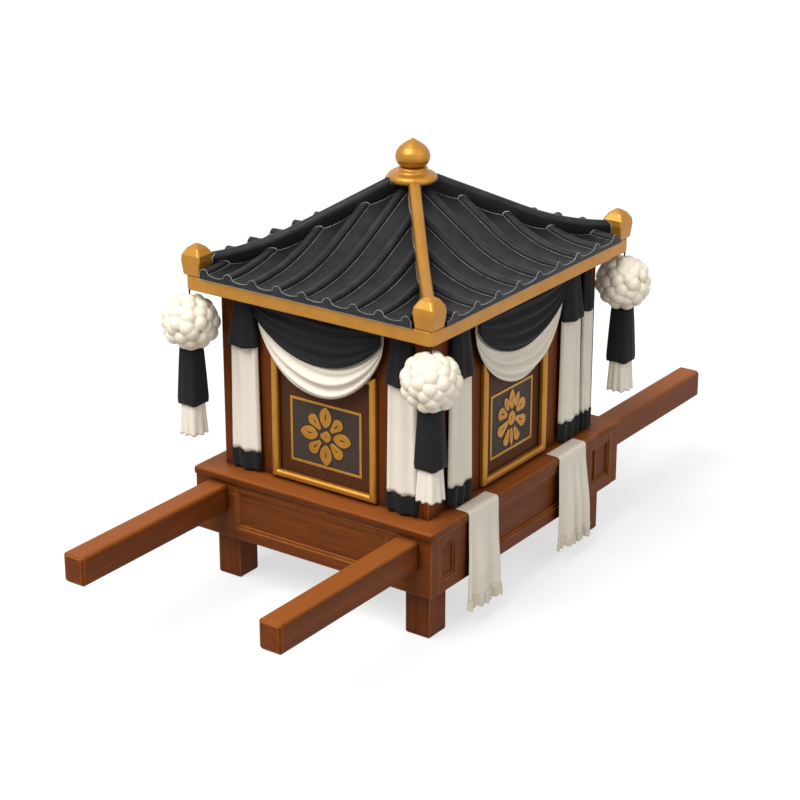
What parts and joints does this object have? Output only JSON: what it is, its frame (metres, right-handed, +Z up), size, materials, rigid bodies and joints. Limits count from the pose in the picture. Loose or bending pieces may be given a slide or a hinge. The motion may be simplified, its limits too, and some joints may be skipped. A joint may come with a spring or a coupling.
{
  "type": "funeral bier",
  "caption": "Roofed funeral bier: wooden cabin with framed panels and draped cloths on a panelled base with legs, carried by long poles; tiled hip roof lifts off.",
  "frame": {"origin": "floor point midway between the four legs", "axes": "+X forward along the poles, +Y to the bier's left when facing forward, +Z up"},
  "size_m": [2.38, 1.0514, 1.373],
  "materials": {
    "brown_timber": "worn oiled timber",
    "dark_timber": "dark stained boards",
    "gilding": "gilded timber, satin",
    "black_lacquer": "black lacquer",
    "roof_tile": "carved timber tiles, charcoal paint",
    "black_cloth": "matt mourning cloth",
    "white_cloth": "plain cotton",
    "paper_flower": "paper petals"
  },
  "bodies": {
    "bier": {"black_swags": "black_cloth", "end_beam_front": "brown_timber", "end_beam_rear": "brown_timber", "end_deck_rails": "brown_timber", "end_frames": "gilding", "end_head_rails": "brown_timber", "end_inlay": "gilding", "end_panels": "black_lacquer", "floor_bearers": "brown_timber", "floor_boards": "brown_timber", "leg_front_left": "brown_timber", "leg_front_right": "brown_timber", "leg_rear_left": "brown_timber", "leg_rear_right": "brown_timber", "pole_left": "brown_timber", "pole_right": "brown_timber", "post_front_left": "brown_timber", "post_front_right": "brown_timber", "post_rear_left": "brown_timber", "post_rear_right": "brown_timber", "side_beam_left": "brown_timber", "side_beam_right": "brown_timber", "side_cloths": "white_cloth", "side_deck_rails": "brown_timber", "side_frames": "gilding", "side_head_rails": "brown_timber", "side_inlay": "gilding", "side_panels": "black_lacquer", "tail_bells": "black_cloth", "tail_hems": "black_cloth", "tail_panels": "white_cloth", "wall_front": "brown_timber", "wall_left": "brown_timber", "wall_rear": "brown_timber", "wall_right": "brown_timber", "white_swags": "white_cloth"},
    "roof": {"soffit": "dark_timber", "fascia": "gilding", "roof_front": "roof_tile", "roof_rear": "roof_tile", "roof_left": "roof_tile", "roof_right": "roof_tile", "gold_hips": "gilding", "black_hips": "roof_tile", "corner_caps": "gilding", "finial_base": "gilding", "finial_jewel": "gilding"},
    "pendant_front_left": {"flower_ball_front_left": "paper_flower", "tassel_sleeve_front_left": "black_cloth", "tassel_skirt_front_left": "white_cloth"},
    "pendant_front_right": {"flower_ball_front_right": "paper_flower", "tassel_sleeve_front_right": "black_cloth", "tassel_skirt_front_right": "white_cloth"},
    "pendant_rear_left": {"flower_ball_rear_left": "paper_flower", "tassel_sleeve_rear_left": "black_cloth", "tassel_skirt_rear_left": "white_cloth"},
    "pendant_rear_right": {"flower_ball_rear_right": "paper_flower", "tassel_sleeve_rear_right": "black_cloth", "tassel_skirt_rear_right": "white_cloth"}
  },
  "joints": [
    {"name": "roof_lift", "type": "slide", "parent": "bier", "child": "roof", "axis": [0, 0, 1], "range_m": [0, 0.6]},
    {"name": "pendant_front_left_swing", "type": "hinge", "parent": "roof", "child": "pendant_front_left", "pos_m": [0.542, 0.442, 0.95], "axis": [0.7071, 0.7071, 0], "range_deg": [-20, 20]},
    {"name": "pendant_front_right_swing", "type": "hinge", "parent": "roof", "child": "pendant_front_right", "pos_m": [0.542, -0.442, 0.95], "axis": [0.7071, -0.7071, 0], "range_deg": [-20, 20]},
    {"name": "pendant_rear_left_swing", "type": "hinge", "parent": "roof", "child": "pendant_rear_left", "pos_m": [-0.542, 0.442, 0.95], "axis": [-0.7071, 0.7071, 0], "range_deg": [-20, 20]},
    {"name": "pendant_rear_right_swing", "type": "hinge", "parent": "roof", "child": "pendant_rear_right", "pos_m": [-0.542, -0.442, 0.95], "axis": [-0.7071, -0.7071, 0], "range_deg": [-20, 20]}
  ]
}
